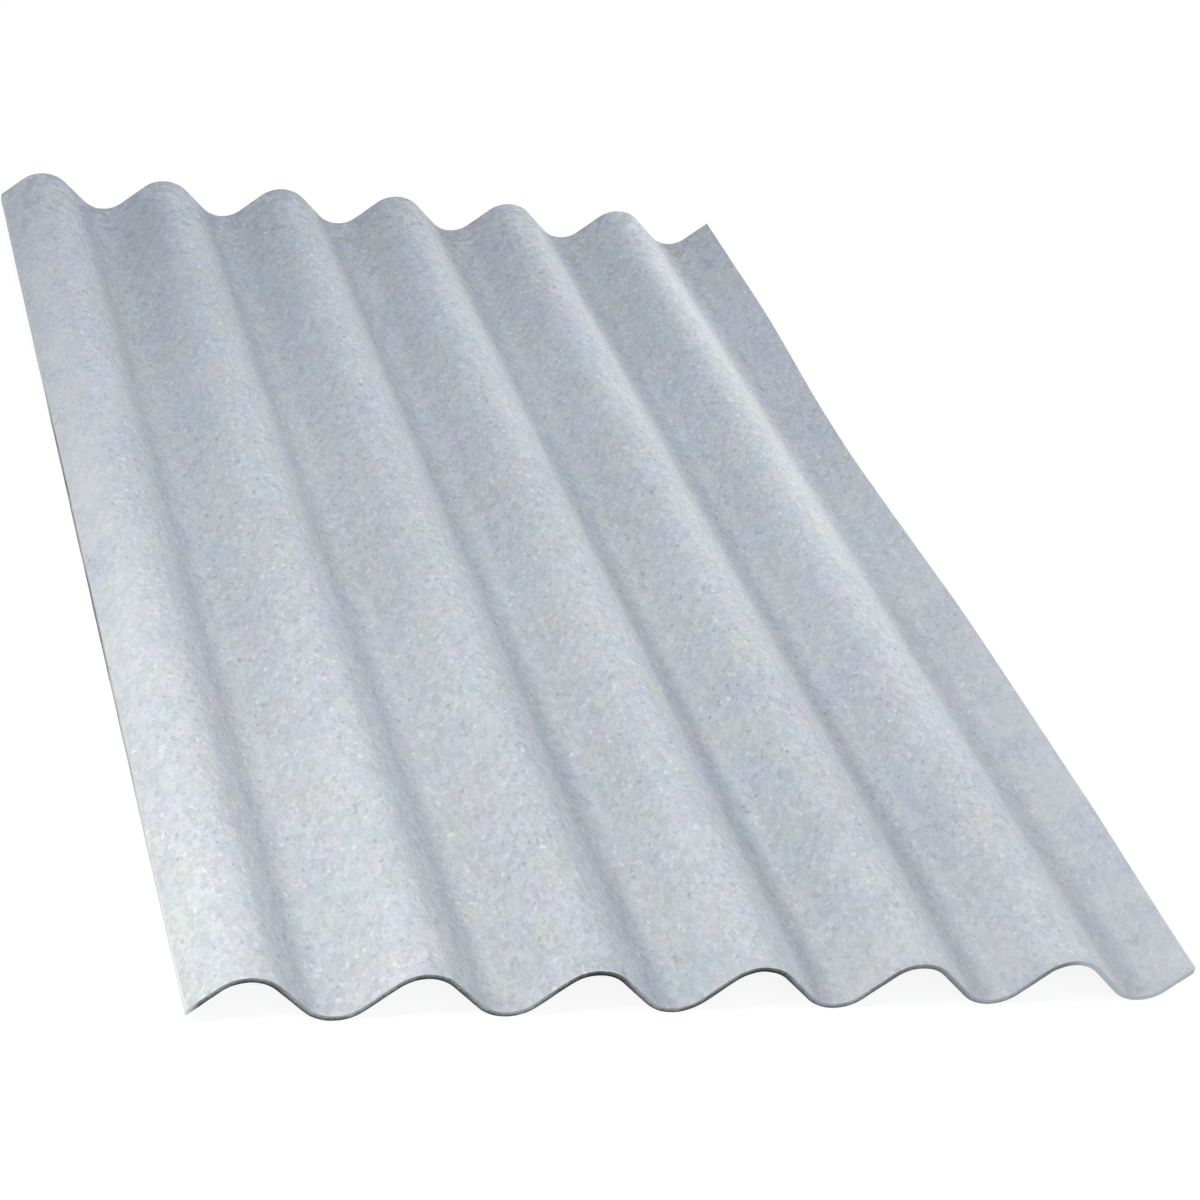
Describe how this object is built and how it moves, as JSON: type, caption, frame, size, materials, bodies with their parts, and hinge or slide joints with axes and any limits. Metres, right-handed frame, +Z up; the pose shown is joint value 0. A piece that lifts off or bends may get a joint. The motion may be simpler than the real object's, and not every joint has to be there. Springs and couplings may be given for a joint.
{
  "type": "fiber cement roof sheet",
  "caption": "Corrugated fibre cement roof sheet with large rounded waves, one side edge turned down and the other up so that sheets lap side by side.",
  "frame": {"origin": "centre of the sheet's footprint, in the plane that the troughs rest on", "axes": "+Y along the waves, +X across them from the turned down side edge to the turned up side edge, +Z up out of the weather face"},
  "size_m": [1.092, 1.83, 0.0568],
  "materials": {
    "fibre_cement": "matte"
  },
  "bodies": {
    "root": {"roof_sheet": "fibre_cement"}
  },
  "joints": []
}
